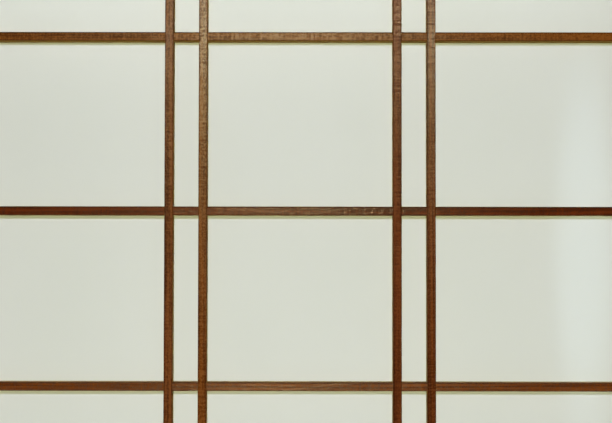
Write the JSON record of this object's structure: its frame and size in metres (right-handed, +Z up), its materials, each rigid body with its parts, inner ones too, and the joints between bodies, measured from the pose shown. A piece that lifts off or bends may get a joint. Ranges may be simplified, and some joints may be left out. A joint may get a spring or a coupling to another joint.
{
  "type": "shoji sliding screen",
  "caption": "Pair of paper-backed lattice screens that slide past each other in grooves of a wooden frame.",
  "frame": {"origin": "centre of the frame's underside", "axes": "+Z up, +X to the right as seen from the room, the room on the -Y side"},
  "size_m": [1.483, 0.105, 1.847],
  "materials": {
    "screen_wood": "satin",
    "frame_wood": "satin",
    "paper": "matte",
    "pull": "satin",
    "slide_tape": "satin",
    "screw_steel": "satin"
  },
  "bodies": {
    "frame": {"sill": "frame_wood", "head": "frame_wood", "left_jamb": "frame_wood", "right_jamb": "frame_wood", "front_slide_tape": "slide_tape", "back_slide_tape": "slide_tape", "frame_screws": "screw_steel"},
    "front_screen": {"front_left_stile": "screen_wood", "front_right_stile": "screen_wood", "front_top_rail": "screen_wood", "front_bottom_rail": "screen_wood", "front_upright_bar_1": "screen_wood", "front_upright_bar_2": "screen_wood", "front_upright_bar_3": "screen_wood", "front_upright_bar_4": "screen_wood", "front_cross_bar_1": "screen_wood", "front_cross_bar_2": "screen_wood", "front_cross_bar_3": "screen_wood", "front_cross_bar_4": "screen_wood", "front_cross_bar_5": "screen_wood", "front_cross_bar_6": "screen_wood", "front_cross_bar_7": "screen_wood", "front_cross_bar_8": "screen_wood", "front_paper": "paper", "front_room_pull": "pull", "front_outer_pull": "pull"},
    "back_screen": {"back_left_stile": "screen_wood", "back_right_stile": "screen_wood", "back_top_rail": "screen_wood", "back_bottom_rail": "screen_wood", "back_upright_bar_1": "screen_wood", "back_upright_bar_2": "screen_wood", "back_upright_bar_3": "screen_wood", "back_upright_bar_4": "screen_wood", "back_cross_bar_1": "screen_wood", "back_cross_bar_2": "screen_wood", "back_cross_bar_3": "screen_wood", "back_cross_bar_4": "screen_wood", "back_cross_bar_5": "screen_wood", "back_cross_bar_6": "screen_wood", "back_cross_bar_7": "screen_wood", "back_cross_bar_8": "screen_wood", "back_paper": "paper", "back_room_pull": "pull", "back_outer_pull": "pull"}
  },
  "joints": [
    {"name": "front_slide", "type": "slide", "parent": "frame", "child": "front_screen", "axis": [1, 0, 0], "range_m": [-0.693, 0]},
    {"name": "back_slide", "type": "slide", "parent": "frame", "child": "back_screen", "axis": [1, 0, 0], "range_m": [0, 0.693]}
  ]
}
